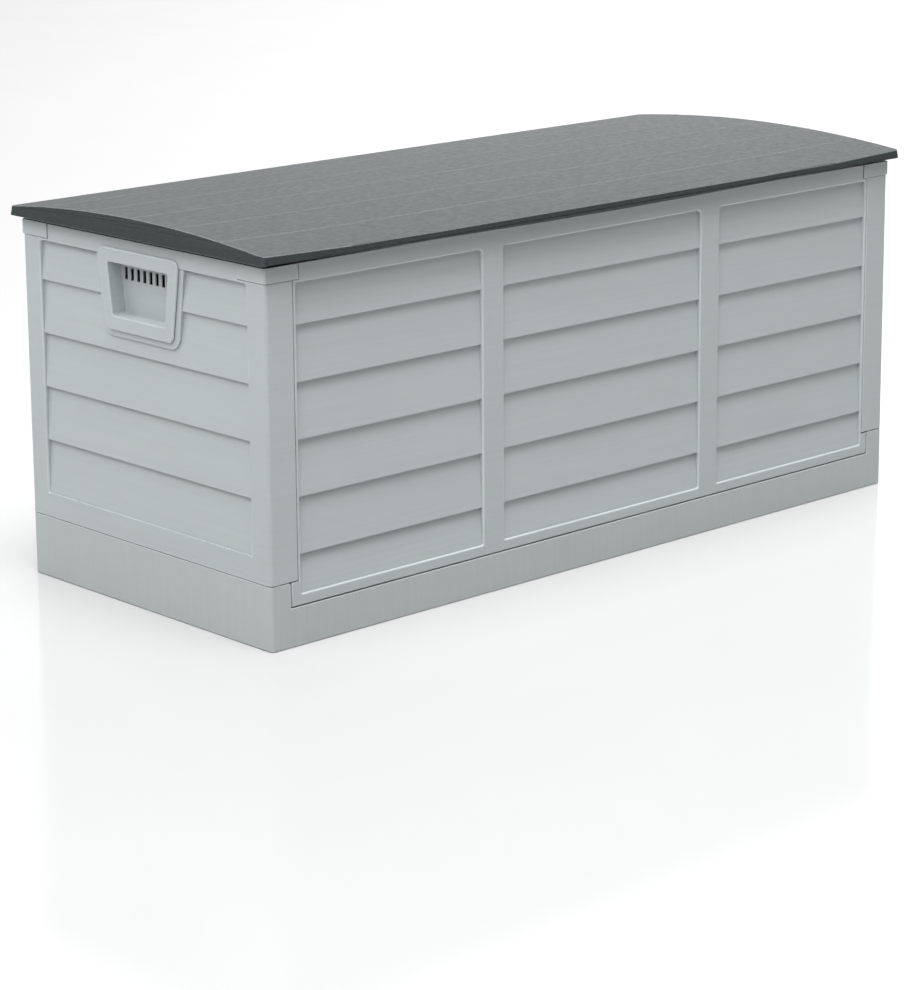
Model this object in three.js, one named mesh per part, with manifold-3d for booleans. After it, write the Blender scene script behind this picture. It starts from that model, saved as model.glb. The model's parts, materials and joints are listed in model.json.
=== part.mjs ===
import * as THREE from "three";
import { mergeVertices } from "three/addons/utils/BufferGeometryUtils.js";
import Module from "manifold-3d";

// Deck storage box: a tray, four panels standing in it and a domed lid.
// Lengths are in millimetres, +Z is up, the front faces -Y and the length runs along X.
// The origin lies on the floor under the middle of the box.

// Tray
const TRAY_LENGTH = 1100;
const TRAY_DEPTH = 468;
const TRAY_HEIGHT = 79;
const TRAY_WALL = 4.5;
const TRAY_FLOOR = 4;
const TRAY_CORNER_RADIUS = 4;
const TRAY_INNER_RADIUS = 3;
const FLOOR_RIB_TOP = 14;
const FLOOR_RIB_THICKNESS = 3;
const FLOOR_RIB_PITCH_X = 130;
const FLOOR_RIB_PITCH_Y = 110;
const NOTCH_BOTTOM = 48;
const NOTCH_HALF_WIDTH = 520;
const NOTCH_CORNER_RADIUS = 3;

// Gap kept between neighbouring pieces, and the wider one at seams that show
const GAP = 0.4;
const SEAM = 1.1;
const NOTCH_SEAM = 1.6;

// Walls
const WALL_TOP = 455;
const POST_WIDTH_ON_FRONT = 41;
const POST_LIP = 4.2;
const POST_RADIUS = 4;
const BLOCK_BOTTOM = 436;
const BLOCK_WIDTH_ON_FRONT = 49;
const BLOCK_WIDTH_ON_END = 50;
const BLOCK_WALL = 3;
const BLOCK_PROUD = 1.2;
const BLOCK_RADIUS = 3;

// Clapboard fields: the face of a board slopes out towards its lower edge
const FIELD_TOP = 432;
const BOARD_EDGES = [382.5, 315, 247, 179, 110.5];
const BOARD_LOWER_DEPTH = 2.2;
const BOARD_UPPER_DEPTH = 6.4;
const FIELD_RADIUS = 4.5;
const FIELD_FOOT_RADIUS = 2;
const SKIN = 2.6;
const RIB = 2.4;

// Hollows behind the boards, and how far they stay inside the edges of their field
const HOLLOW_INSET = 3;
const HOLLOW_FOOT = 3;
const HOLLOW_TOP = FIELD_TOP - 5;
const HOLLOWS_PER_FIELD = 3;

// Front and back panels
const PANEL_THICKNESS = 16;
const PANEL_HALF_WIDTH = NOTCH_HALF_WIDTH - NOTCH_SEAM;
const PANEL_FIELD_BOTTOM = 63;
const MIDDLE_FIELD_HALF = 176;
const STILE_WIDTH = 36;
const OUTER_FIELD_END = 504.3;
const PIVOT_INSET = 12;
const FRONT_PIVOT_Z = 22;
const BACK_PIVOT_Z = 40;
const KNUCKLE_RADIUS = 6;
const PIVOT_PIN_RADIUS = 2.5;
const PIVOT_PIN_LENGTH = 36;
const PIVOT_HOLE_RADIUS = 2.95;
const PIVOT_HOLE_DEPTH = 18;
const BOSS_HALF_WIDTH = 9;
const BOSS_HEIGHT_OVER_PIVOT = 9;
const BACK_RIM_CHAMFER = 3;

// End panels
const END_THICKNESS = TRAY_LENGTH / 2 - NOTCH_HALF_WIDTH - 0.2;
const END_FIELD_HALF = 200;
const END_FIELD_BOTTOM = 110.5;
const END_WALL = 4;
const TONGUE_BOTTOM = 62;
const TONGUE_INSET = 12;
const TONGUE_GAP = 0.8;
const TONGUE_WALL = 5;
const POST_HOLLOW_BOTTOM = 84;
const MIDDLE_HOLLOW_HALF = 92;
const RIM_HOLLOW_INNER = 70;
const RIM_HOLLOW_OUTER = 180;
const RIM_HOLLOW_BOTTOM = FIELD_TOP + 3;

// Handle: a trapezoid plate with a finger pocket, on a slightly larger pad that fills the boards
const HANDLE_TOP = 442;
const HANDLE_BOTTOM = 341.5;
const HANDLE_HALF_TOP = 79;
const HANDLE_HALF_BOTTOM = 64;
const HANDLE_RADIUS = 10;
const HANDLE_SEAT = 0.4;
const PAD_GROWTH = 8;
const PAD_RECESS = 0.8;
const PLATE_FRONT = 3;
const POCKET_TOP = 424.5;
const POCKET_BOTTOM = 359;
const POCKET_HALF_TOP = 59;
const POCKET_HALF_BOTTOM = 51;
const POCKET_RADIUS = 3.5;
const POCKET_WALL = 1.6;
const POCKET_DEPTH = 19;
const VENT_COUNT = 9;
const VENT_PITCH = 12.1;
const VENT_WIDTH = 6.2;
const VENT_TOP = 416;
const VENT_HEIGHT = 15;

// Lid
const LID_HALF_LENGTH = 560.5;
const LID_HALF_DEPTH = 244.8;
const LID_FLARE = 1.5;
const LID_BOTTOM = 459;
const LID_EDGE_TOP = 470.4;
const LID_CROWN = 14;
const LID_SHELL = 3;
const LID_RADIUS = 6;
const LID_INNER_RADIUS = 3;
const LID_EDGE_ROUND = 1.2;
const LID_ARC_STEPS = 24;
const LID_RIB_BOTTOM = 461.5;
const LID_RIB_PITCH = 140;
const LID_RIB_SHIFT = 20;
const LID_LONG_RIBS = [-120, 0, 120];
const LID_TOP_EXTRA = 0.8;
const LID_BEADS = [-168, -84, 0, 84, 168];
const BEAD_HALF_WIDTH = 1.8;
const BEAD_HEIGHT = 0.35;
const REST_RIB_X = 536;
const REST_RIB_HALF_LENGTH = 170;
const REST_RIB_BOTTOM = WALL_TOP + 0.2;
const FRONT_SAG_OF_EDGE = 4.5;
const FRONT_SAG_OF_TOP = 4.6;
const SAG_STEPS = 8;
const SAG_POWER_OF_TOP = 5;
const ABOVE_LID = 500;

// Lid hinges
const HINGE_X = [-367, 0, 367];
const HINGE_Y = 229;
const HINGE_Z = 449;
const HINGE_PIN_RADIUS = 3;
const HINGE_PIN_LENGTH = 64;
const HOOK_OFFSET = 21;
const HOOK_WIDTH = 10;
const HOOK_OUTER_RADIUS = 6.4;
const HOOK_BORE_RADIUS = 3.5;
const HOOK_MOUTH = 3.6;
const HOOK_ARM_HALF = 3.2;
const HOOK_FOOT_HALF = 11;
const HOOK_FOOT_BOTTOM = 463.6;
const HOOK_TOP = 466.4;
const HINGE_SLOT_HALF_WIDTH = 35;
const CRADLE_HALF_WIDTH = 12;
const HOOK_CLEARANCE = 0.6;
const PIN_CLEARANCE = 0.5;

const wasm = await Module();
wasm.setup();

// The geometry as a solid for the booleans.
function toSolid(geometry) {
  geometry.deleteAttribute("normal");
  geometry.deleteAttribute("uv");
  const merged = mergeVertices(geometry, 1e-4);
  return new wasm.Manifold(
    new wasm.Mesh({
      numProp: 3,
      vertProperties: new Float32Array(merged.getAttribute("position").array),
      triVerts: new Uint32Array(merged.index.array),
    }),
  );
}

// The solid as a geometry that three.js can show.
function toGeometry(solid) {
  const made = solid.getMesh();
  const geometry = new THREE.BufferGeometry();
  geometry.setAttribute("position", new THREE.BufferAttribute(made.vertProperties, 3));
  geometry.setIndex(new THREE.BufferAttribute(made.triVerts, 1));
  geometry.computeVertexNormals();
  return geometry;
}

// A box between two values on each axis.
function box(x0, x1, y0, y1, z0, z1) {
  const geometry = new THREE.BoxGeometry(x1 - x0, y1 - y0, z1 - z0);
  geometry.translate((x0 + x1) / 2, (y0 + y1) / 2, (z0 + z1) / 2);
  return toSolid(geometry);
}

// A closed outline from a list of [a, b] points.
function outline(points) {
  return new THREE.Shape(points.map(([a, b]) => new THREE.Vector2(a, b)));
}

// A convex outline whose corners are rounded; radii gives one radius for each corner.
function roundedOutline(corners, radii, steps = 6) {
  const points = [];
  corners.forEach((corner, i) => {
    const here = new THREE.Vector2(...corner);
    const before = new THREE.Vector2(...corners.at(i - 1)).sub(here).normalize();
    const after = new THREE.Vector2(...corners[(i + 1) % corners.length]).sub(here).normalize();
    if (radii[i] === 0) {
      points.push([here.x, here.y]);
      return;
    }
    const halfAngle = Math.acos(before.dot(after)) / 2;
    const reach = radii[i] / Math.tan(halfAngle);
    const centre = before.clone().add(after).normalize();
    centre.multiplyScalar(radii[i] / Math.sin(halfAngle)).add(here);
    const first = before.multiplyScalar(reach).add(here).sub(centre);
    const turn = Math.PI - 2 * halfAngle;
    for (let k = 0; k <= steps; k++) {
      const spoke = first.clone().rotateAround(new THREE.Vector2(), (turn * k) / steps);
      points.push([centre.x + spoke.x, centre.y + spoke.y]);
    }
  });
  return outline(points);
}

// Corners of a rectangle, anticlockwise from the low corner.
function rectangle(a0, a1, b0, b1) {
  return [[a0, b0], [a1, b0], [a1, b1], [a0, b1]];
}

// An outline in X and Y, standing from z0 to z1.
function standing(shape, z0, z1) {
  const geometry = new THREE.ExtrudeGeometry(shape, { depth: z1 - z0, bevelEnabled: false });
  geometry.translate(0, 0, z0);
  return toSolid(geometry);
}

// An outline in X and Z, running from y0 to y1.
function acrossDepth(shape, y0, y1) {
  const geometry = new THREE.ExtrudeGeometry(shape, { depth: y1 - y0, bevelEnabled: false });
  geometry.rotateX(Math.PI / 2);
  geometry.translate(0, y1, 0);
  return toSolid(geometry);
}

// An outline in Y and Z, running from x0 to x1.
function alongLength(shape, x0, x1) {
  const geometry = new THREE.ExtrudeGeometry(shape, { depth: x1 - x0, bevelEnabled: false });
  geometry.applyMatrix4(new THREE.Matrix4().set(0, 0, 1, x0, 1, 0, 0, 0, 0, 1, 0, 0, 0, 0, 0, 1));
  return toSolid(geometry);
}

// A round bar along X between x0 and x1, on the line through (y, z).
function barAlongX(x0, x1, y, z, radius, sides = 24) {
  const geometry = new THREE.CylinderGeometry(radius, radius, x1 - x0, sides);
  geometry.rotateZ(Math.PI / 2);
  geometry.translate((x0 + x1) / 2, y, z);
  return toSolid(geometry);
}

function add(solids) {
  return solids.reduce((sum, solid) => sum.add(solid));
}

function cut(solid, tools) {
  return tools.reduce((rest, tool) => rest.subtract(tool), solid);
}

// Panels are drawn in a frame of their own: u along the panel, v inwards from its outer face, z up.
// Here u is X, v is Y and the outer face lies on y = 0.

// The line of the clapboard face as [v, z] points from the top of a field down to its bottom,
// moved inwards and upwards by the same shift.
function boardLine(bottom, top, shift) {
  const edges = [...BOARD_EDGES.filter((z) => z > bottom + 1), bottom];
  const points = [];
  let upper = top;
  for (const lower of edges) {
    points.push([shift + BOARD_UPPER_DEPTH, shift + upper]);
    points.push([shift + BOARD_LOWER_DEPTH, shift + lower]);
    upper = lower;
  }
  return points;
}

// The room in front of the boards of one field, with rounded upper corners.
function fieldCut(u0, u1, bottom, radii) {
  const face = roundedOutline(rectangle(u0, u1, bottom, FIELD_TOP), radii);
  const profile = [...boardLine(bottom, FIELD_TOP, 0), [-1, bottom], [-1, FIELD_TOP]];
  return acrossDepth(face, -1, BOARD_UPPER_DEPTH + 1).intersect(
    alongLength(outline(profile), u0 - 1, u1 + 1),
  );
}

// A hollow behind the boards, open to the inner face. Its steps lie a skin higher than those of the
// boards, so that the wall stays closed at each step.
function boardHollow(u0, u1, bottom, top, thickness) {
  const line = boardLine(bottom, FIELD_TOP, SKIN);
  const profile = [...line, [thickness + 1, SKIN + bottom], [thickness + 1, SKIN + FIELD_TOP]];
  const all = alongLength(outline(profile), u0, u1);
  return all.intersect(box(u0 - 1, u1 + 1, -1, thickness + 2, bottom + HOLLOW_FOOT, top));
}

// Hollows behind the boards of one field, with upright ribs left between them.
function hollowRow(u0, u1, count, bottom, top, thickness) {
  const pitch = (u1 - u0 + RIB) / count;
  return Array.from({ length: count }, (_, i) =>
    boardHollow(u0 + i * pitch, u0 + (i + 1) * pitch - RIB, bottom, top, thickness),
  );
}

// Front and back panels: three clapboard fields, a rim above and a pivot knuckle below.
function longPanel(pivotZ) {
  const top = WALL_TOP - GAP;
  const bottom = NOTCH_BOTTOM + NOTCH_SEAM;
  const half = PANEL_HALF_WIDTH;
  const postEdge = TRAY_LENGTH / 2 - POST_WIDTH_ON_FRONT - SEAM;
  const blockEdge = TRAY_LENGTH / 2 - BLOCK_WIDTH_ON_FRONT - SEAM;
  const solid = add([
    box(-half, half, 0, PANEL_THICKNESS, bottom, top),
    box(-half, half, PIVOT_INSET - KNUCKLE_RADIUS, PANEL_THICKNESS, pivotZ, bottom + 1),
    barAlongX(-half, half, PIVOT_INSET, pivotZ, KNUCKLE_RADIUS),
  ]);
  const lipRoom = POST_LIP + GAP;
  const tools = [];
  for (const side of [-1, 1]) {
    const end = side * (half + 1);
    const span = (inner) => [Math.min(side * inner, end), Math.max(side * inner, end)];
    tools.push(box(...span(postEdge), -1, lipRoom, TRAY_HEIGHT, top + 1));
    tools.push(box(...span(blockEdge), -1, lipRoom, BLOCK_BOTTOM - GAP, top + 1));
    const hole = span(half - PIVOT_HOLE_DEPTH);
    tools.push(barAlongX(...hole, PIVOT_INSET, pivotZ, PIVOT_HOLE_RADIUS));
  }
  const stile = MIDDLE_FIELD_HALF + STILE_WIDTH;
  const fields = [
    [-OUTER_FIELD_END, -stile],
    [-MIDDLE_FIELD_HALF, MIDDLE_FIELD_HALF],
    [stile, OUTER_FIELD_END],
  ];
  for (const [u0, u1] of fields) {
    const radii = [FIELD_FOOT_RADIUS, FIELD_FOOT_RADIUS, FIELD_RADIUS, FIELD_RADIUS];
    tools.push(fieldCut(u0, u1, PANEL_FIELD_BOTTOM, radii));
    const row = [u0 + HOLLOW_INSET, u1 - HOLLOW_INSET, HOLLOWS_PER_FIELD];
    tools.push(...hollowRow(...row, PANEL_FIELD_BOTTOM, HOLLOW_TOP, PANEL_THICKNESS));
  }
  for (const middle of [-1, 1].map((side) => side * (MIDDLE_FIELD_HALF + STILE_WIDTH / 2))) {
    const reach = STILE_WIDTH / 2 - RIB;
    const heights = [PANEL_FIELD_BOTTOM + HOLLOW_FOOT, HOLLOW_TOP];
    tools.push(box(middle - reach, middle + reach, SKIN, PANEL_THICKNESS + 1, ...heights));
  }
  return cut(solid, tools);
}

// The back panel carries open slots in its rim, each with a cradle for a hinge pin.
function backPanel() {
  const axisDepth = TRAY_DEPTH / 2 - HINGE_Y;
  const hookRoom = HOOK_OUTER_RADIUS + HOOK_CLEARANCE;
  const tools = [];
  for (const x of HINGE_X) {
    const left = x - HINGE_SLOT_HALF_WIDTH;
    const right = x + HINGE_SLOT_HALF_WIDTH;
    const slotBottom = HINGE_Z - hookRoom - PIN_CLEARANCE;
    const slot = box(left, right, -1, axisDepth + hookRoom, slotBottom, WALL_TOP + 1);
    const cradle = box(
      x - CRADLE_HALF_WIDTH,
      x + CRADLE_HALF_WIDTH,
      -2,
      axisDepth + hookRoom + 1,
      HINGE_Z - hookRoom - 2,
      HINGE_Z - HINGE_PIN_RADIUS - PIN_CLEARANCE,
    );
    const pinFence = box(
      x - CRADLE_HALF_WIDTH,
      x + CRADLE_HALF_WIDTH,
      axisDepth + HINGE_PIN_RADIUS + PIN_CLEARANCE,
      axisDepth + hookRoom + 1,
      HINGE_Z - hookRoom - 2,
      WALL_TOP + 2,
    );
    tools.push(slot.subtract(cradle).subtract(pinFence));
  }
  const past = 0.6;
  const chamfer = outline([
    [-1, WALL_TOP - BACK_RIM_CHAMFER - 1],
    [BACK_RIM_CHAMFER + past, WALL_TOP + past],
    [-1, WALL_TOP + past],
  ]);
  tools.push(alongLength(chamfer, -PANEL_HALF_WIDTH - 1, PANEL_HALF_WIDTH + 1));
  return cut(longPanel(BACK_PIVOT_Z), tools);
}

// A trapezoid wider at its top, symmetric about u = 0, with rounded corners.
function trapezoid(halfBottom, halfTop, z0, z1, radius) {
  const corners = [[-halfBottom, z0], [halfBottom, z0], [halfTop, z1], [-halfTop, z1]];
  return roundedOutline(corners, [radius, radius, radius, radius]);
}

function pocketOutline(growth) {
  return trapezoid(
    POCKET_HALF_BOTTOM + growth,
    POCKET_HALF_TOP + growth,
    POCKET_BOTTOM - growth,
    POCKET_TOP + growth,
    POCKET_RADIUS + growth,
  );
}

// End panel: corner posts that wrap round the front and back, one clapboard field and a handle pad.
function endPanel() {
  const half = TRAY_DEPTH / 2;
  const deep = END_THICKNESS;
  const lipDepth = POST_WIDTH_ON_FRONT;
  const plan = roundedOutline(rectangle(-half, half, 0, lipDepth), [POST_RADIUS, POST_RADIUS, 0, 0]);
  const behindLip = box(-half + POST_LIP, half - POST_LIP, deep, lipDepth + 1, 0, WALL_TOP + 1);
  const tongueHalf = half - TONGUE_INSET;
  const walls = standing(plan, TRAY_HEIGHT + SEAM, WALL_TOP - GAP).subtract(behindLip);
  const tongueFront = TRAY_WALL + TONGUE_GAP;
  const tongue = box(-tongueHalf, tongueHalf, tongueFront, deep, TONGUE_BOTTOM, TRAY_HEIGHT + 2);
  const radii = [FIELD_FOOT_RADIUS, FIELD_FOOT_RADIUS, FIELD_RADIUS, FIELD_RADIUS];
  const tools = [fieldCut(-END_FIELD_HALF, END_FIELD_HALF, END_FIELD_BOTTOM, radii)];
  const blockInner = half - BLOCK_WIDTH_ON_END - SEAM;
  for (const side of [-1, 1]) {
    const span = (a, b) => [Math.min(side * a, side * b), Math.max(side * a, side * b)];
    const blockRoom = [BLOCK_BOTTOM - SEAM / 2, WALL_TOP + 1];
    tools.push(box(...span(blockInner, half + 1), -1, lipDepth + 1, ...blockRoom));
    const post = span(END_FIELD_HALF + END_WALL, half - POST_LIP);
    const postHeights = [POST_HOLLOW_BOTTOM, BLOCK_BOTTOM - END_WALL];
    tools.push(box(...post, END_WALL, deep + 1, ...postHeights));
    const outerRow = span(MIDDLE_HOLLOW_HALF + END_WALL, END_FIELD_HALF - HOLLOW_INSET);
    tools.push(...hollowRow(...outerRow, 1, END_FIELD_BOTTOM, HOLLOW_TOP, deep));
    const rim = span(RIM_HOLLOW_INNER, RIM_HOLLOW_OUTER);
    tools.push(box(...rim, END_WALL, deep + 1, RIM_HOLLOW_BOTTOM, WALL_TOP - END_WALL));
  }
  const belowHandle = HANDLE_BOTTOM - PAD_GROWTH - END_WALL;
  const middleRow = [-MIDDLE_HOLLOW_HALF, MIDDLE_HOLLOW_HALF, 2];
  tools.push(...hollowRow(...middleRow, END_FIELD_BOTTOM, belowHandle, deep));
  const footHeights = [TONGUE_BOTTOM + END_WALL, END_FIELD_BOTTOM - END_WALL];
  const footDepths = [TRAY_WALL + TONGUE_WALL, deep + 1];
  tools.push(box(-END_FIELD_HALF, END_FIELD_HALF, ...footDepths, ...footHeights));
  const pad = acrossDepth(
    trapezoid(
      HANDLE_HALF_BOTTOM + PAD_GROWTH,
      HANDLE_HALF_TOP + PAD_GROWTH,
      HANDLE_BOTTOM - PAD_GROWTH,
      HANDLE_TOP + PAD_GROWTH,
      HANDLE_RADIUS + PAD_GROWTH,
    ),
    PAD_RECESS,
    SKIN + BOARD_UPPER_DEPTH,
  );
  const handleRoom = acrossDepth(pocketOutline(POCKET_WALL + GAP), -1, deep + 1);
  return cut(add([walls, tongue]), tools).add(pad).subtract(handleRoom);
}

// Cap on top of a corner post; side is the end of the panel it stands at.
function cornerBlock(side) {
  const half = TRAY_DEPTH / 2;
  const lip = BLOCK_WIDTH_ON_FRONT;
  const inner = half - BLOCK_WIDTH_ON_END;
  const place = (a, b) => [Math.min(side * a, side * b), Math.max(side * a, side * b)];
  const [u0, u1] = place(inner, half + BLOCK_PROUD);
  const radii = side > 0 ? [0, BLOCK_RADIUS, 0, 0] : [BLOCK_RADIUS, 0, 0, 0];
  const plan = roundedOutline(rectangle(u0, u1, -BLOCK_PROUD, lip), radii);
  const top = WALL_TOP - GAP;
  const behindLip = box(...place(inner - 1, half - POST_LIP), END_THICKNESS, lip + 1, 0, top + 1);
  const hollow = box(
    ...place(inner + BLOCK_WALL, half - POST_LIP - BLOCK_WALL),
    POST_LIP + BLOCK_WALL,
    END_THICKNESS - BLOCK_WALL,
    0,
    top - BLOCK_WALL,
  );
  return cut(standing(plan, BLOCK_BOTTOM, top), [behindLip, hollow]);
}

// Handle insert: a plate proud of the pad and a finger pocket with vent slots in its back.
function handle() {
  const front = -PLATE_FRONT;
  const back = -HANDLE_SEAT;
  const plateOutline = trapezoid(
    HANDLE_HALF_BOTTOM,
    HANDLE_HALF_TOP,
    HANDLE_BOTTOM,
    HANDLE_TOP,
    HANDLE_RADIUS,
  );
  const plate = acrossDepth(plateOutline, front, back);
  const pocket = acrossDepth(pocketOutline(POCKET_WALL), back - 1, POCKET_DEPTH);
  const room = acrossDepth(pocketOutline(0), front - 1, POCKET_DEPTH - POCKET_WALL);
  const vents = Array.from({ length: VENT_COUNT }, (_, i) => {
    const u = (i - (VENT_COUNT - 1) / 2) * VENT_PITCH;
    const depth = POCKET_DEPTH - POCKET_WALL - 2;
    const half = VENT_WIDTH / 2;
    return box(u - half, u + half, depth, POCKET_DEPTH + 1, VENT_TOP - VENT_HEIGHT, VENT_TOP);
  });
  return cut(plate.add(pocket), [room, ...vents]);
}

// A notch in X and Z whose upper corners on the tray are rounded.
function notchOutline() {
  const notch = NOTCH_HALF_WIDTH;
  const radius = NOTCH_CORNER_RADIUS;
  const side = [[notch, NOTCH_BOTTOM]];
  for (let k = 0; k <= 4; k++) {
    const turn = (Math.PI / 8) * k;
    const z = TRAY_HEIGHT - radius + radius * Math.sin(turn);
    side.push([notch + radius - radius * Math.cos(turn), z]);
  }
  side.push([notch + radius, TRAY_HEIGHT + 1]);
  const otherSide = side.map(([x, z]) => [-x, z]).reverse();
  return outline([...side, ...otherSide]);
}

// Tray: walls and ribbed floor, notches for the long panels and bosses for their pivots.
function tray() {
  const halfX = TRAY_LENGTH / 2;
  const halfY = TRAY_DEPTH / 2;
  const radius = TRAY_CORNER_RADIUS;
  const outer = roundedOutline(rectangle(-halfX, halfX, -halfY, halfY), Array(4).fill(radius));
  const inX = halfX - TRAY_WALL;
  const inY = halfY - TRAY_WALL;
  const inner = roundedOutline(rectangle(-inX, inX, -inY, inY), Array(4).fill(TRAY_INNER_RADIUS));
  const room = standing(inner, TRAY_FLOOR, TRAY_HEIGHT + 1);
  const notch = NOTCH_HALF_WIDTH;
  const shell = cut(standing(outer, 0, TRAY_HEIGHT), [
    room,
    acrossDepth(notchOutline(), -halfY - 1, -inY + 1),
    acrossDepth(notchOutline(), inY - 1, halfY + 1),
  ]);
  const low = TRAY_FLOOR - 1;
  const thin = FLOOR_RIB_THICKNESS / 2;
  const ribs = [];
  for (let i = -4; i <= 4; i++) {
    const x = i * FLOOR_RIB_PITCH_X;
    ribs.push(box(x - thin, x + thin, -inY - 1, inY + 1, low, FLOOR_RIB_TOP));
  }
  for (let i = -1; i <= 1; i++) {
    const y = i * FLOOR_RIB_PITCH_Y;
    ribs.push(box(-inX - 1, inX + 1, y - thin, y + thin, low, FLOOR_RIB_TOP));
  }
  const bosses = [];
  const bores = [];
  for (const [side, pivotZ] of [[-1, FRONT_PIVOT_Z], [1, BACK_PIVOT_Z]]) {
    const y = side * (halfY - PIVOT_INSET);
    const wall = side * (inY + 1);
    const free = y - side * BOSS_HALF_WIDTH;
    for (const end of [-1, 1]) {
      const x0 = Math.min(end * (notch + GAP), end * (inX + 1));
      const x1 = Math.max(end * (notch + GAP), end * (inX + 1));
      const y0 = Math.min(free, wall);
      const y1 = Math.max(free, wall);
      bosses.push(box(x0, x1, y0, y1, low, pivotZ + BOSS_HEIGHT_OVER_PIVOT));
      const bore = [end * (notch - 1), end * (inX - 2)].sort((a, b) => a - b);
      bores.push(barAlongX(...bore, y, pivotZ, PIVOT_HOLE_RADIUS));
    }
  }
  return cut(add([shell, ...ribs, ...bosses]), bores);
}

// Height of the lid's outer arc over a depth y.
function crownHeight(y) {
  return LID_EDGE_TOP + LID_CROWN * (1 - (y / LID_HALF_DEPTH) ** 2);
}

// The lid's outer profile in Y and Z down to a bottom, with low lengthwise beads on its top.
function lidProfile(bottom) {
  const half = LID_HALF_DEPTH + LID_FLARE;
  const shoulder = LID_HALF_DEPTH - LID_EDGE_ROUND;
  const step = (2 * shoulder) / LID_ARC_STEPS;
  const arc = Array.from({ length: LID_ARC_STEPS + 1 }, (_, i) => shoulder - i * step)
    .filter((y) => LID_BEADS.every((middle) => Math.abs(y - middle) > BEAD_HALF_WIDTH + 1))
    .map((y) => [y, crownHeight(y)]);
  for (const middle of LID_BEADS) {
    for (const offset of [1, 0.5, -0.5, -1]) {
      const y = middle + offset * BEAD_HALF_WIDTH;
      arc.push([y, crownHeight(y) + (Math.abs(offset) < 1 ? BEAD_HEIGHT : 0)]);
    }
  }
  arc.sort((a, b) => b[0] - a[0]);
  const edge = LID_EDGE_TOP - LID_EDGE_ROUND / 2;
  return outline([[-half, bottom], [half, bottom], [half, edge], ...arc, [-half, edge]]);
}

// The lid's inner profile in Y and Z, one shell thickness inside the outer one.
function lidInnerProfile() {
  const half = LID_HALF_DEPTH;
  const points = [[-half, LID_BOTTOM - 15], [half, LID_BOTTOM - 15]];
  for (let i = 0; i <= LID_ARC_STEPS; i++) {
    const y = half - (2 * half * i) / LID_ARC_STEPS;
    points.push([y, crownHeight(y) - LID_SHELL - LID_TOP_EXTRA]);
  }
  return outline(points);
}

// A lid profile along the length. The front hangs a little lower towards the middle, the hinged
// back stays straight, and the top keeps its height for longer than the skirt's lower edge does.
function bentAlongLength(shape, halfLength) {
  const depth = 2 * halfLength;
  const geometry = new THREE.ExtrudeGeometry(shape, { depth, steps: SAG_STEPS, bevelEnabled: false });
  geometry.applyMatrix4(
    new THREE.Matrix4().set(0, 0, 1, -halfLength, 1, 0, 0, 0, 0, 1, 0, 0, 0, 0, 0, 1),
  );
  const points = geometry.getAttribute("position");
  for (let i = 0; i < points.count; i++) {
    const along = Math.min(1, Math.abs(points.getX(i)) / LID_HALF_LENGTH);
    const frontShare = (LID_HALF_DEPTH - points.getY(i)) / (2 * LID_HALF_DEPTH);
    const onTop = points.getZ(i) > LID_EDGE_TOP - LID_SHELL - 1;
    const sag = onTop
      ? FRONT_SAG_OF_TOP * (1 - along ** SAG_POWER_OF_TOP)
      : FRONT_SAG_OF_EDGE * Math.cos((Math.PI / 2) * along) ** 2;
    points.setZ(i, points.getZ(i) - sag * frontShare);
  }
  return toSolid(geometry);
}

// A rounded rectangle standing through the lid, its sides leaning out below the edge of the top.
function flaredPlan(halfX, halfY, radius) {
  const shape = roundedOutline(rectangle(-halfX, halfX, -halfY, halfY), Array(4).fill(radius));
  const depth = 2 * (ABOVE_LID - LID_EDGE_TOP);
  const geometry = new THREE.ExtrudeGeometry(shape, { depth, steps: 2, bevelEnabled: false });
  geometry.translate(0, 0, ABOVE_LID - depth);
  const points = geometry.getAttribute("position");
  for (let i = 0; i < points.count; i++) {
    const below = Math.max(0, LID_EDGE_TOP - points.getZ(i));
    const out = (LID_FLARE * below) / (LID_EDGE_TOP - LID_BOTTOM);
    points.setX(i, points.getX(i) + Math.sign(points.getX(i)) * out);
    points.setY(i, points.getY(i) + Math.sign(points.getY(i)) * out);
  }
  return toSolid(geometry);
}

// Lid: a domed shell with a skirt, cross ribs and two ribs that rest on the end panels.
function lid() {
  const halfX = LID_HALF_LENGTH;
  const halfY = LID_HALF_DEPTH;
  const reach = halfX + 10;
  const plan = flaredPlan(halfX, halfY, LID_RADIUS);
  const innerPlan = flaredPlan(halfX - LID_SHELL, halfY - LID_SHELL, LID_INNER_RADIUS);
  const outer = plan.intersect(bentAlongLength(lidProfile(LID_BOTTOM), reach));
  const inner = innerPlan.intersect(bentAlongLength(lidInnerProfile(), reach));
  const thin = RIB / 2;
  const ribs = [];
  for (let i = -3; i <= 3; i++) {
    const x = i * LID_RIB_PITCH + (i === 0 ? 0 : Math.sign(i) * LID_RIB_SHIFT);
    ribs.push(box(x - thin, x + thin, -halfY, halfY, LID_RIB_BOTTOM, ABOVE_LID));
  }
  for (const y of LID_LONG_RIBS) {
    ribs.push(box(-halfX, halfX, y - thin, y + thin, LID_RIB_BOTTOM, ABOVE_LID));
  }
  const tall = plan.intersect(bentAlongLength(lidProfile(REST_RIB_BOTTOM - 10), reach));
  const restRibs = [-REST_RIB_X, REST_RIB_X].map((x) => {
    const half = REST_RIB_HALF_LENGTH;
    return box(x - thin, x + thin, -half, half, REST_RIB_BOTTOM, ABOVE_LID).intersect(tall);
  });
  return add([outer.subtract(inner.subtract(add(ribs))), ...restRibs]);
}

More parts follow.
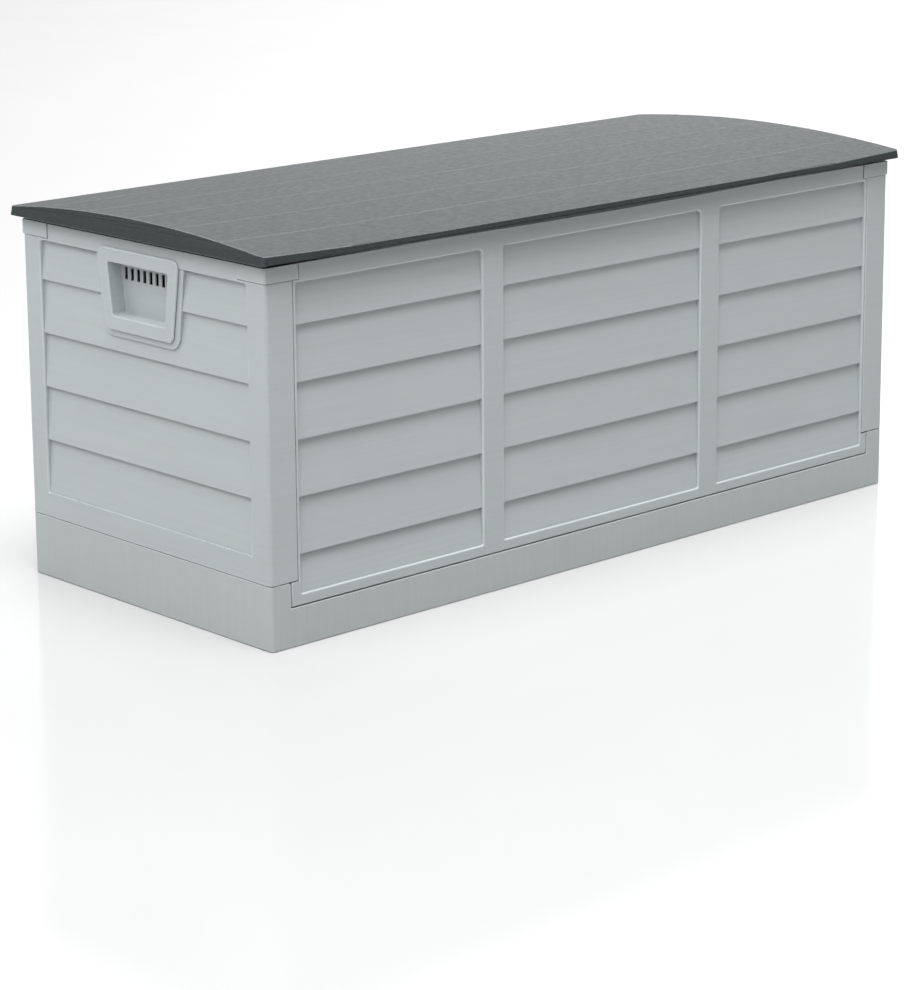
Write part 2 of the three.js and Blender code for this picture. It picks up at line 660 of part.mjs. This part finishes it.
// Hinge hook: a foot under the lid, an arm and a ring with a mouth that snaps over the pin.
function hook(x) {
  const x0 = x - HOOK_WIDTH / 2;
  const x1 = x + HOOK_WIDTH / 2;
  const foot = box(
    x0,
    x1,
    HINGE_Y - HOOK_FOOT_HALF,
    HINGE_Y + HOOK_FOOT_HALF,
    HOOK_FOOT_BOTTOM,
    HOOK_TOP,
  );
  const arm = box(x0, x1, HINGE_Y - HOOK_ARM_HALF, HINGE_Y + HOOK_ARM_HALF, HINGE_Z, HOOK_TOP);
  const ring = barAlongX(x0, x1, HINGE_Y, HINGE_Z, HOOK_OUTER_RADIUS, 32);
  const bore = barAlongX(x0 - 1, x1 + 1, HINGE_Y, HINGE_Z, HOOK_BORE_RADIUS);
  const mouth = box(
    x0 - 1,
    x1 + 1,
    HINGE_Y - HOOK_MOUTH / 2,
    HINGE_Y + HOOK_MOUTH / 2,
    HINGE_Z - HOOK_OUTER_RADIUS - 1,
    HINGE_Z,
  );
  return cut(add([foot, arm, ring]), [bore, mouth]);
}

const trayPlastic = { color: 0xa9b0b0, roughness: 0.55, metalness: 0 };
const wallPlastic = { color: 0xb2baba, roughness: 0.55, metalness: 0 };
const lidPlastic = { color: 0x7f8886, roughness: 0.6, metalness: 0 };
const hookPlastic = { color: 0xc9cdcc, roughness: 0.5, metalness: 0 };
const steel = { color: 0xb8babc, roughness: 0.35, metalness: 1 };

const boxAssembly = new THREE.Group();
boxAssembly.name = "deck_storage_box";

// Puts a solid into the assembly as a named mesh, turned about Z and then moved.
function place(name, solid, look, turn = 0, x = 0, y = 0) {
  const mesh = new THREE.Mesh(toGeometry(solid), new THREE.MeshStandardMaterial(look));
  mesh.name = name;
  mesh.rotation.z = turn;
  mesh.position.set(x, y, 0);
  boxAssembly.add(mesh);
}

const endX = TRAY_LENGTH / 2;
const faceY = TRAY_DEPTH / 2;

place("base_tray", tray(), trayPlastic);
place("front_panel", longPanel(FRONT_PIVOT_Z), wallPlastic, 0, 0, -faceY);
place("back_panel", backPanel(), wallPlastic, Math.PI, 0, faceY);
place("left_end_panel", endPanel(), wallPlastic, -Math.PI / 2, -endX, 0);
place("right_end_panel", endPanel(), wallPlastic, Math.PI / 2, endX, 0);
place("left_handle", handle(), wallPlastic, -Math.PI / 2, -endX, 0);
place("right_handle", handle(), wallPlastic, Math.PI / 2, endX, 0);
place("corner_block_front_left", cornerBlock(1), wallPlastic, -Math.PI / 2, -endX, 0);
place("corner_block_back_left", cornerBlock(-1), wallPlastic, -Math.PI / 2, -endX, 0);
place("corner_block_front_right", cornerBlock(-1), wallPlastic, Math.PI / 2, endX, 0);
place("corner_block_back_right", cornerBlock(1), wallPlastic, Math.PI / 2, endX, 0);
place("lid", lid(), lidPlastic);

const pinEnds = [PANEL_HALF_WIDTH - PIVOT_HOLE_DEPTH + 1, 0];
pinEnds[1] = pinEnds[0] + PIVOT_PIN_LENGTH;
for (const [row, side, z] of [["front", -1, FRONT_PIVOT_Z], ["back", 1, BACK_PIVOT_Z]]) {
  const y = side * (faceY - PIVOT_INSET);
  const [near, far] = pinEnds;
  place(`${row}_pivot_pin_left`, barAlongX(-far, -near, y, z, PIVOT_PIN_RADIUS), steel);
  place(`${row}_pivot_pin_right`, barAlongX(near, far, y, z, PIVOT_PIN_RADIUS), steel);
}

["left", "middle", "right"].forEach((where, i) => {
  const x = HINGE_X[i];
  const half = HINGE_PIN_LENGTH / 2;
  place(`hinge_pin_${where}`, barAlongX(x - half, x + half, HINGE_Y, HINGE_Z, HINGE_PIN_RADIUS), steel);
  place(`hinge_hook_${where}_a`, hook(x - HOOK_OFFSET), hookPlastic);
  place(`hinge_hook_${where}_b`, hook(x + HOOK_OFFSET), hookPlastic);
});

export default boxAssembly;
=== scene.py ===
import json
import math

import bmesh
import bpy
from mathutils import Matrix, Vector

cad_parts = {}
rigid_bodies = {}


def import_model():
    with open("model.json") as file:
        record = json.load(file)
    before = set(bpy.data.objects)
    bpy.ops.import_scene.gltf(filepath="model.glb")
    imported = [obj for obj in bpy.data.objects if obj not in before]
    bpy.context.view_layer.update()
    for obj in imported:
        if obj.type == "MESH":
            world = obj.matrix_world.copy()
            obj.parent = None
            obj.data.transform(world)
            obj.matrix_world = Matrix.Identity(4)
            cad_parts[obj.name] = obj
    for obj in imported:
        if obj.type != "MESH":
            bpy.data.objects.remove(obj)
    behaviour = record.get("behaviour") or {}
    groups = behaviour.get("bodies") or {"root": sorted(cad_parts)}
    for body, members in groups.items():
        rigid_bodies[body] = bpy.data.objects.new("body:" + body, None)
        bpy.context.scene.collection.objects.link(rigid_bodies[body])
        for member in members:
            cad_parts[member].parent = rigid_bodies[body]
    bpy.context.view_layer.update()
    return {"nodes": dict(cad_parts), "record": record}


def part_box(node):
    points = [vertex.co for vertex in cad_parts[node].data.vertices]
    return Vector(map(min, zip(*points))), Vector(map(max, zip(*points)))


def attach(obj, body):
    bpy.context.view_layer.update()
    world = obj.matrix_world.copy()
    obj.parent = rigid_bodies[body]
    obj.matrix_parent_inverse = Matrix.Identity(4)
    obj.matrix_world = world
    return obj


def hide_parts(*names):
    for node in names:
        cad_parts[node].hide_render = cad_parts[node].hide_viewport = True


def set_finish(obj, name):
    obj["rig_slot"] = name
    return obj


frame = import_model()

# Deck storage box: the shells of the walls, handles, corner blocks, tray and lid are replaced by copies
# with rounded edges, and each plastic gets its own procedural material. Lengths are in metres, with MM for
# small ones.

MM = 0.001
SCENE = bpy.context.scene
NODES = frame["nodes"]
SLOT_OF = {part["node"]: part["material_slot"] for part in frame["record"]["subparts"]}

# Outer faces of the walls, read from the tray that they stand in
TRAY_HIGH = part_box("base_tray")[1]
END_X, FACE_Y = TRAY_HIGH[0], TRAY_HIGH[1]
LID_LOW, LID_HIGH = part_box("lid")

# The middle of the storage space, the middle lines of the stiles, and how near counts as touching
MIDDLE = Vector((0, 0, 250 * MM))
STILE_X = 194 * MM
SNUG = 0.05 * MM

# Roundings, each a width in millimetres and a number of segments
FIELD_ROUND = (2.0, 4)
END_FOOT_ROUND = (0.6, 2)
FRAME_ROUND = (1.2, 3)
BOARD_ROUND = (0.7, 2)
PLATE_ROUND = (2.1, 4)
LIP_ROUND = (0.9, 3)
RIM_ROUND = (0.9, 2)
TRAY_FOOT_ROUND = (2.0, 3)
LID_SKIRT_ROUND = (0.6, 2)

# ---------------------------------------------------------------- geometry helpers

# Distances within which points merge and a cut takes a point along
MERGE_WITHIN = 0.004 * MM
CUT_WITHIN = 0.001 * MM

# Angles in degrees: faces that turn by less are one flat face (the curved lid needs a finer
# measure), edges that turn by more can be rounded, and edges that turn by more are shaded sharp
FLAT_ANGLE = 0.3
LID_FLAT_ANGLE = 0.08
ROUNDABLE_ANGLE = 24
SHARP_ANGLE = 32


def cad_bmesh(name, cuts=(), flat_angle=FLAT_ANGLE):
    """A CAD node's solid with its coplanar triangles joined into flat faces.

    Each cut is (axis, place): the faces stay parted along that plane, so that no face goes
    all the way round a hole.
    """
    bm = bmesh.new()
    bm.from_mesh(NODES[name].data)
    bmesh.ops.remove_doubles(bm, verts=bm.verts, dist=MERGE_WITHIN)
    for axis, place in cuts:
        point, normal = Vector((0, 0, 0)), Vector((0, 0, 0))
        point[axis] = place
        normal[axis] = 1.0
        whole = bm.verts[:] + bm.edges[:] + bm.faces[:]
        made = bmesh.ops.bisect_plane(
            bm, geom=whole, dist=CUT_WITHIN, plane_co=point, plane_no=normal,
        )
        for item in made["geom_cut"]:
            if isinstance(item, bmesh.types.BMEdge):
                item.seam = True
    bmesh.ops.dissolve_limit(
        bm, angle_limit=math.radians(flat_angle), use_dissolve_boundaries=False,
        verts=bm.verts, edges=bm.edges, delimit={"SEAM"},
    )
    return bm


def both(edge, test):
    """True where test holds at both ends of an edge."""
    return all(test(v.co) for v in edge.verts)


def round_edges(bm, rounding, wanted):
    """Rounds the sharp convex edges that wanted(edge) picks, and marks the new faces as edges."""
    width, segments = rounding
    mark = bm.faces.layers.float.get("edge") or bm.faces.layers.float.new("edge")
    sharp = math.radians(ROUNDABLE_ANGLE)
    edges = [
        e for e in bm.edges
        if len(e.link_faces) == 2 and e.calc_face_angle_signed(0.0) > sharp and wanted(e)
    ]
    made = bmesh.ops.bevel(
        bm, geom=edges, offset=width * MM, offset_type="OFFSET", segments=segments,
        profile=0.5, affect="EDGES", clamp_overlap=False,
    )
    for face in made["faces"]:
        face[mark] = 1.0


def piece_from(bm, name, node, body):
    """Makes bm a piece that stands for a CAD node, takes its slot and rides on its body.

    Faces on the outside are shaded smooth, and those that look in at the storage space flat.
    """
    mark = bm.faces.layers.float["edge"]
    for face in bm.faces:
        outward = face.normal.dot(face.calc_center_median() - MIDDLE) > 0
        face.smooth = outward or face[mark] > 0.5
    mesh = bpy.data.meshes.new(name)
    bm.to_mesh(mesh)
    bm.free()
    piece = bpy.data.objects.new(name, mesh)
    SCENE.collection.objects.link(piece)
    mesh.set_sharp_from_angle(angle=math.radians(SHARP_ANGLE))
    normals = piece.modifiers.new("weighted_normals", "WEIGHTED_NORMAL")
    normals.keep_sharp = True
    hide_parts(node)
    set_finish(piece, SLOT_OF[node])
    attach(piece, body)


# ---------------------------------------------------------------- walls

# Where the sunk fields of boards end in the walls
FIELD_TOP_Z = 432 * MM
FIELD_END_X = 504.3 * MM
FIELD_END_Y = 200 * MM
PANEL_FIELD_FOOT = 63 * MM
END_FIELD_FOOT = 110.5 * MM

# How deep behind the frame the boards' lower edges lie; they start less deep in the end panels
PANEL_BOARD_EDGES = (1.0 * MM, 3.0 * MM)
END_BOARD_EDGES = (0.6 * MM, 3.0 * MM)


def long_panel(node, side, body):
    """Front or back panel; side is -1 for the front and 1 for the back."""
    bm = cad_bmesh(node, [(0, -STILE_X), (0, STILE_X), (2, MIDDLE.z)])

    def depth(co):
        return FACE_Y - side * co.y

    def round_a_field(co):
        return abs(co.x) < FIELD_END_X + SNUG and PANEL_FIELD_FOOT - SNUG < co.z < FIELD_TOP_Z + SNUG

    def in_frame(co):
        return abs(depth(co)) < SNUG

    def on_board_edge(co):
        return PANEL_BOARD_EDGES[0] < depth(co) < PANEL_BOARD_EDGES[1]

    round_edges(bm, FIELD_ROUND, lambda e: both(e, in_frame) and both(e, round_a_field))
    round_edges(bm, FRAME_ROUND, lambda e: both(e, in_frame) and not both(e, round_a_field))
    round_edges(bm, BOARD_ROUND, lambda e: both(e, on_board_edge))
    piece_from(bm, node + "_shell", node, body)


def end_panel(node, side):
    """End panel with its corner posts; side is -1 for the left end and 1 for the right."""
    bm = cad_bmesh(node, [(2, MIDDLE.z)])

    def depth(co):
        return END_X - side * co.x

    def on_post(co):
        return abs(abs(co.y) - FACE_Y) < SNUG

    def round_the_field(co):
        return abs(co.y) < FIELD_END_Y + SNUG and END_FIELD_FOOT - SNUG < co.z < FIELD_TOP_Z + SNUG

    def in_frame(co):
        return abs(depth(co)) < SNUG

    def at_foot(co):
        return round_the_field(co) and co.z < END_FIELD_FOOT + SNUG

    def on_board_edge(co):
        return END_BOARD_EDGES[0] < depth(co) < END_BOARD_EDGES[1]

    round_edges(bm, END_FOOT_ROUND, lambda e: both(e, in_frame) and both(e, at_foot))
    round_edges(
        bm, FIELD_ROUND,
        lambda e: both(e, in_frame) and both(e, round_the_field) and not both(e, at_foot),
    )
    round_edges(
        bm, FRAME_ROUND,
        lambda e: both(e, on_post) or (both(e, in_frame) and not both(e, round_the_field)),
    )
    round_edges(bm, BOARD_ROUND, lambda e: both(e, on_board_edge))
    piece_from(bm, node + "_shell", node, "base")


# The finger pocket's lip lies within this half width, and this far from the insert's ends
POCKET_HALF = 60.5 * MM
POCKET_FROM_FOOT = 12 * MM
POCKET_FROM_TOP = 10 * MM


def handle(node):
    """Handle insert: the plate is rounded all round, the pocket only at its lip."""
    low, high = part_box(node)
    bm = cad_bmesh(node, [(2, 0.5 * (low[2] + high[2]))])
    front = max(abs(low[0]), abs(high[0]))

    def on_front(co):
        return abs(abs(co.x) - front) < SNUG

    def in_pocket(co):
        return abs(co.y) < POCKET_HALF and low[2] + POCKET_FROM_FOOT < co.z < high[2] - POCKET_FROM_TOP

    round_edges(bm, PLATE_ROUND, lambda e: both(e, on_front) and not both(e, in_pocket))
    round_edges(bm, LIP_ROUND, lambda e: both(e, on_front) and both(e, in_pocket))
    piece_from(bm, node + "_insert", node, "base")


def corner_block(node):
    """Cap on a corner post: its two outer faces stand a little proud of the walls."""
    bm = cad_bmesh(node)

    def outside(co):
        return abs(co.x) > END_X + SNUG or abs(co.y) > FACE_Y + SNUG

    round_edges(bm, RIM_ROUND, lambda e: both(e, outside))
    piece_from(bm, node + "_cap", node, "base")


# The tray's rounded corners take up this much, and its notches start just above this height
TRAY_CORNER = 4.5 * MM
UNDER_NOTCH = 47.5 * MM


def tray():
    """Tray: its foot is rounded, and less so its rim and the notches for the long panels."""
    bm = cad_bmesh("base_tray")

    def outside(co):
        in_corner = abs(co.x) > END_X - TRAY_CORNER and abs(co.y) > FACE_Y - TRAY_CORNER
        return in_corner or abs(co.x) > END_X - SNUG or abs(co.y) > FACE_Y - SNUG

    def on_rim(co):
        return co.z > UNDER_NOTCH and outside(co)

    round_edges(bm, TRAY_FOOT_ROUND, lambda e: both(e, lambda co: co.z < SNUG))
    round_edges(bm, RIM_ROUND, lambda e: both(e, on_rim))
    piece_from(bm, "tray_shell", "base_tray", "base")


# The lid's outer edge reaches this far in from its ends and sides, and its skirt this far up
LID_EDGE_X = 6 * MM
LID_EDGE_Y = 4 * MM
LID_SKIRT = 12 * MM

# Low beads run along the lid at an even pitch, one of them on its middle line
BEAD_PITCH = 84 * MM
BEAD_HALF_WIDTH = 1.8 * MM
# Share of the painted edge highlight that the beads' upward faces take
BEAD_HIGHLIGHT = 0.45
FACING_UP = 0.9


def lid():
    """Lid: its edges are rounded, and its beads are marked with them so that both take a painted
    highlight.
    """
    bm = cad_bmesh("lid", flat_angle=LID_FLAT_ANGLE)
    edge_x = LID_HIGH[0] - LID_EDGE_X
    edge_y = LID_HIGH[1] - LID_EDGE_Y
    skirt_top = LID_LOW[2] + LID_SKIRT

    def outside(co):
        return abs(co.x) > edge_x or abs(co.y) > edge_y

    round_edges(bm, LIP_ROUND, lambda e: both(e, lambda co: co.z > skirt_top and outside(co)))
    round_edges(bm, LID_SKIRT_ROUND, lambda e: both(e, lambda co: co.z < skirt_top and outside(co)))
    # The upward faces of the beads are marked to take part of the painted highlight
    mark = bm.faces.layers.float["edge"]
    for face in bm.faces:
        y = face.calc_center_median().y
        from_bead = abs(y - BEAD_PITCH * round(y / BEAD_PITCH))
        if face.normal.z > FACING_UP and from_bead < BEAD_HALF_WIDTH:
            face[mark] = BEAD_HIGHLIGHT
    piece_from(bm, "lid_shell", "lid", "lid")


long_panel("front_panel", -1, "front_panel")
long_panel("back_panel", 1, "back_panel")
end_panel("left_end_panel", -1)
end_panel("right_end_panel", 1)
handle("left_handle")
handle("right_handle")
for corner in ("front_left", "front_right", "back_left", "back_right"):
    corner_block("corner_block_" + corner)
tray()
lid()

# ---------------------------------------------------------------- materials


class Look:
    """A material under construction, with short ways to add its nodes."""

    def __init__(self, name):
        self.material = bpy.data.materials.new(name)
        self.material.use_nodes = True
        self.tree = self.material.node_tree
        self.shader = self.tree.nodes["Principled BSDF"]
        self.place = self.add("ShaderNodeTexCoord").outputs["Object"]

    def add(self, kind, **settings):
        """A new shader node with some of its properties set."""
        node = self.tree.nodes.new(kind)
        for key, value in settings.items():
            setattr(node, key, value)
        return node

    def join(self, source, target):
        """Links an output socket to an input socket."""
        self.tree.links.new(source, target)

    def stretched(self, scale):
        """Object coordinates scaled along each axis."""
        mapping = self.add("ShaderNodeMapping")
        mapping.inputs["Scale"].default_value = scale
        self.join(self.place, mapping.inputs["Vector"])
        return mapping.outputs["Vector"]

    def noise(self, scale, detail=3.0, rough=0.55):
        """Noise over object coordinates, with a scale per metre on each axis."""
        node = self.add("ShaderNodeTexNoise")
        node.inputs["Scale"].default_value = 1.0
        node.inputs["Detail"].default_value = detail
        node.inputs["Roughness"].default_value = rough
        self.join(self.stretched(scale), node.inputs["Vector"])
        return node.outputs["Fac"]

    def rounded(self):
        """How much painted highlight a face takes: 1 on rounded edges, less on beads and 0 elsewhere."""
        return self.add("ShaderNodeAttribute", attribute_name="edge").outputs["Fac"]

    def math(self, operation, a, b):
        """One arithmetic step; a and b are numbers or sockets."""
        node = self.add("ShaderNodeMath", operation=operation)
        for socket, value in zip(node.inputs, (a, b)):
            if isinstance(value, (int, float)):
                socket.default_value = value
            else:
                self.join(value, socket)
        return node.outputs[0]

    def spread(self, value, low, high, into=(0.3, 0.7)):
        """A value between into's ends, moved to lie between low and high."""
        node = self.add("ShaderNodeMapRange")
        node.inputs["From Min"].default_value, node.inputs["From Max"].default_value = into
        node.inputs["To Min"].default_value = low
        node.inputs["To Max"].default_value = high
        self.join(value, node.inputs["Value"])
        return node.outputs[0]

    def blend(self, factor, a, b):
        """Colour a turning to colour b; each is a colour or a socket."""
        node = self.add("ShaderNodeMix", data_type="RGBA")
        self.join(factor, node.inputs["Factor"])
        for socket, value in ((node.inputs[6], a), (node.inputs[7], b)):
            if isinstance(value, tuple):
                socket.default_value = (*value, 1.0)
            else:
                self.join(value, socket)
        return node.outputs[2]

    def bump(self, height, distance, below=None):
        """Relief of a height, laid over the normal of the relief below it."""
        node = self.add("ShaderNodeBump")
        node.inputs["Strength"].default_value = 1.0
        node.inputs["Distance"].default_value = distance
        self.join(height, node.inputs["Height"])
        if below is not None:
            self.join(below, node.inputs["Normal"])
        return node.outputs["Normal"]


# How the streaks of wall resin differ from its shade, and how much paler the painted highlight makes its
# rounded edges
DARK_STREAK = 0.955
LIGHT_STREAK = 1.035
PAINTED_EDGE_HIGHLIGHT = 1.22


def wall_resin(name, shade, streaks):
    """Matt moulded resin: fine grain, faint drawn-out streaks, and rounded edges painted paler as a
    painted highlight.
    """
    look = Look(name)
    grain = look.noise((850, 850, 850), 2.0)
    streak = look.noise(streaks, 4.0, 0.6)
    cloud = look.noise((7, 7, 7), 3.0)
    dark = tuple(DARK_STREAK * c for c in shade)
    light = tuple(LIGHT_STREAK * c for c in shade)
    # Colour of the painted highlight on rounded edges
    highlight_colour = tuple(PAINTED_EDGE_HIGHLIGHT * c for c in shade)
    tone = look.math("ADD", look.math("MULTIPLY", streak, 0.55), look.math("MULTIPLY", grain, 0.30))
    tone = look.math("ADD", tone, look.math("MULTIPLY", cloud, 0.15))
    colour = look.blend(look.spread(tone, 0.0, 1.0, (0.34, 0.66)), dark, light)
    # Painted highlight: rounded edges turn paler, patchy with the cloud noise, and a little glossier there
    painted_highlight = look.math("MULTIPLY", look.rounded(), look.spread(cloud, 0.2, 1.0))
    look.join(look.blend(painted_highlight, colour, highlight_colour), look.shader.inputs["Base Color"])
    roughness = look.math("SUBTRACT", look.spread(streak, 0.42, 0.56), look.math("MULTIPLY", painted_highlight, 0.08))
    look.join(roughness, look.shader.inputs["Roughness"])
    normal = look.bump(grain, 0.05 * MM)
    look.join(look.bump(streak, 0.12 * MM, normal), look.shader.inputs["Normal"])
    look.shader.inputs["Specular IOR Level"].default_value = 0.42
    return look.material


def lid_resin():
    """Darker resin with a coarse grain over faint mottling; edges and beads are painted paler as a painted
    highlight.
    """
    look = Look("lid_resin")
    grain = look.noise((290, 290, 290), 3.0, 0.65)
    mottle = look.noise((90, 160, 160), 4.0, 0.6)
    cloud = look.noise((5, 9, 9), 3.0)
    tone = look.math("ADD", look.math("MULTIPLY", mottle, 0.10), look.math("MULTIPLY", grain, 0.75))
    tone = look.math("ADD", tone, look.math("MULTIPLY", cloud, 0.15))
    spread = look.spread(tone, 0.0, 1.0, (0.36, 0.64))
    colour = look.blend(spread, (0.029, 0.036, 0.037), (0.043, 0.051, 0.051))
    # Painted highlight: rounded edges and beads turn to this paler colour, patchy with the grain
    painted_highlight = look.math("MULTIPLY", look.rounded(), look.spread(grain, 0.4, 1.0))
    look.join(look.blend(painted_highlight, colour, (0.180, 0.196, 0.196)), look.shader.inputs["Base Color"])
    look.join(look.spread(mottle, 0.36, 0.48), look.shader.inputs["Roughness"])
    normal = look.bump(grain, 0.24 * MM)
    look.join(look.bump(mottle, 0.07 * MM, normal), look.shader.inputs["Normal"])
    look.shader.inputs["Specular IOR Level"].default_value = 0.32
    look.shader.inputs["Specular Tint"].default_value = (0.92, 1.0, 1.0, 1.0)
    return look.material


def hook_resin():
    """Pale glass-filled resin of the hinge hooks."""
    look = Look("hook_resin")
    grain = look.noise((700, 700, 700), 3.0)
    colour = look.blend(look.spread(grain, 0.0, 1.0), (0.56, 0.58, 0.58), (0.64, 0.66, 0.65))
    look.join(colour, look.shader.inputs["Base Color"])
    look.join(look.spread(grain, 0.36, 0.5), look.shader.inputs["Roughness"])
    look.join(look.bump(grain, 0.04 * MM), look.shader.inputs["Normal"])
    return look.material


def zinc_rod():
    """Zinc-plated rod with fine drawing marks round it."""
    look = Look("zinc_rod")
    rings = look.noise((900, 40, 40), 2.0)
    colour = look.blend(look.spread(rings, 0.0, 1.0), (0.50, 0.51, 0.52), (0.66, 0.67, 0.67))
    look.join(colour, look.shader.inputs["Base Color"])
    look.join(look.spread(rings, 0.24, 0.42), look.shader.inputs["Roughness"])
    look.join(look.bump(rings, 0.02 * MM), look.shader.inputs["Normal"])
    look.shader.inputs["Metallic"].default_value = 1.0
    return look.material


LOOKS = {
    "wall_plastic": wall_resin("wall_resin", (0.436, 0.472, 0.474), (5, 5, 260)),
    "tray_plastic": wall_resin("tray_resin", (0.425, 0.459, 0.457), (170, 170, 9)),
    "lid_plastic": lid_resin(),
    "hook_plastic": hook_resin(),
    "steel": zinc_rod(),
}


def dress(piece, slot):
    """Gives a piece the one material of its slot."""
    piece.data.materials.clear()
    piece.data.materials.append(LOOKS[slot])


for node_name, node_object in NODES.items():
    dress(node_object, SLOT_OF[node_name])
for piece in [o for o in bpy.data.objects if o.get("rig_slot")]:
    dress(piece, piece["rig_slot"])

# ---------------------------------------------------------------- floor and light

FLOOR_HALF = 12.0
SOFTBOX_DISTANCE = 3.2
SCENE.view_settings.view_transform = "Standard"


def make_floor():
    """Wide pale floor that fades into the light background."""
    mesh = bpy.data.meshes.new("floor")
    s = FLOOR_HALF
    mesh.from_pydata([(-s, -s, 0), (s, -s, 0), (s, s, 0), (-s, s, 0)], [], [(0, 1, 2, 3)])
    floor = bpy.data.objects.new("floor", mesh)
    SCENE.collection.objects.link(floor)
    look = Look("studio_floor")
    soft = look.noise((2, 2, 2))
    colour = look.blend(look.spread(soft, 0.0, 1.0), (0.935, 0.935, 0.938), (0.945, 0.945, 0.946))
    look.join(colour, look.shader.inputs["Base Color"])
    look.join(look.spread(soft, 0.10, 0.14), look.shader.inputs["Roughness"])
    look.shader.inputs["Specular IOR Level"].default_value = 0.25
    mesh.materials.append(look.material)
    return floor


def studio_sky(base, lobes):
    """World light: an even base plus soft lobes, each (direction, tightness, strength)."""
    world = bpy.data.worlds.new("studio")
    SCENE.world = world
    world.use_nodes = True
    tree = world.node_tree
    towards = tree.nodes.new("ShaderNodeTexCoord").outputs["Generated"]
    total = None
    for direction, tightness, strength in lobes:
        dot = tree.nodes.new("ShaderNodeVectorMath")
        dot.operation = "DOT_PRODUCT"
        tree.links.new(towards, dot.inputs[0])
        dot.inputs[1].default_value = Vector(direction).normalized()
        value = dot.outputs["Value"]
        for operation, amount in (("MAXIMUM", 0.0), ("POWER", tightness), ("MULTIPLY", strength)):
            step = tree.nodes.new("ShaderNodeMath")
            step.operation = operation
            tree.links.new(value, step.inputs[0])
            step.inputs[1].default_value = amount
            value = step.outputs[0]
        if total is not None:
            joint = tree.nodes.new("ShaderNodeMath")
            tree.links.new(total, joint.inputs[0])
            tree.links.new(value, joint.inputs[1])
            value = joint.outputs[0]
        total = value
    last = tree.nodes.new("ShaderNodeMath")
    tree.links.new(total, last.inputs[0])
    last.inputs[1].default_value = base
    background = tree.nodes["Background"]
    background.inputs["Color"].default_value = (1.0, 1.0, 1.0, 1.0)
    tree.links.new(last.outputs[0], background.inputs["Strength"])


def softbox(name, azimuth, elevation, size, power, skips):
    """Square area light aimed at the box; azimuth is measured from +X, and skips is not lit."""
    data = bpy.data.lights.new(name, "AREA")
    data.shape = "SQUARE"
    data.size = size
    data.energy = power
    lamp = bpy.data.objects.new(name, data)
    turn, rise = math.radians(azimuth), math.radians(elevation)
    away = Vector((math.cos(turn) * math.cos(rise), math.sin(turn) * math.cos(rise), math.sin(rise)))
    lamp.location = MIDDLE + SOFTBOX_DISTANCE * away
    lamp.rotation_euler = away.to_track_quat("Z", "Y").to_euler()
    SCENE.collection.objects.link(lamp)
    lamp.light_linking.receiver_collection = skips


floor = make_floor()
unlit = bpy.data.collections.new("softboxes_skip")
unlit.objects.link(floor)
for entry in unlit.collection_objects:
    entry.light_linking.link_state = "EXCLUDE"

studio_sky(0.02, [
    ((-0.12, -0.22, 0.97), 12.0, 6.8),
    ((0.76, 0.50, 0.38), 7.0, 1.6),
])
softbox("key_left", 197, 36, 1.8, 39, unlit)
softbox("key_back_left", 138, 38, 1.2, 30, unlit)
softbox("key_high", 252, 73, 1.0, 62, unlit)

# ---------------------------------------------------------------- camera

YAW, PITCH, ROLL = math.radians(43.0056), math.radians(-12.8773), math.radians(-0.3932)
EYE = Vector((-2.71525, -2.87926, 1.10865))
ahead = Vector((math.sin(YAW) * math.cos(PITCH), math.cos(YAW) * math.cos(PITCH), math.sin(PITCH)))
level = Vector((math.cos(YAW), -math.sin(YAW), 0))
above = level.cross(ahead)
right = math.cos(ROLL) * level + math.sin(ROLL) * above
up = math.cos(ROLL) * above - math.sin(ROLL) * level
camera_data = bpy.data.cameras.new("camera")
camera_data.lens = 112.02
camera_data.sensor_width = 36
camera_data.shift_y = -0.12
camera = bpy.data.objects.new("camera", camera_data)
SCENE.collection.objects.link(camera)
pose = Matrix((right, up, -ahead)).transposed().to_4x4()
pose.translation = EYE
camera.matrix_world = pose
SCENE.camera = camera
